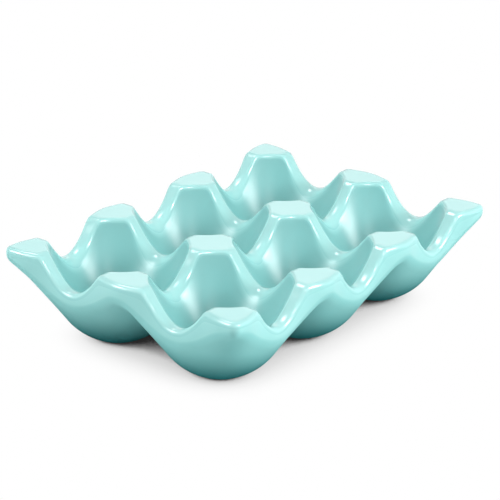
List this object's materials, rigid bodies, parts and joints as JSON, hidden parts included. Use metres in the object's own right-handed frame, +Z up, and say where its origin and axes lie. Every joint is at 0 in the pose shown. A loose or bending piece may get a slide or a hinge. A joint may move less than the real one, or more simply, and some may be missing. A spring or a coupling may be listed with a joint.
{
  "type": "egg tray",
  "caption": "Glazed stoneware tray with round egg cups in a grid, wavy ridges between them and flat-topped posts where the ridges cross; it stands on the dry feet under its cups.",
  "frame": {"origin": "on the table, under the middle of the tray", "axes": "+X along the longer side of the grid of cups, +Y along its shorter side, +Z up"},
  "size_m": [0.1616, 0.1116, 0.0375],
  "materials": {
    "stoneware": "matte bare fired clay",
    "glaze": "gloss aqua glaze"
  },
  "bodies": {
    "root": {"stoneware_body": "stoneware", "glaze_coat": "glaze"}
  },
  "joints": []
}
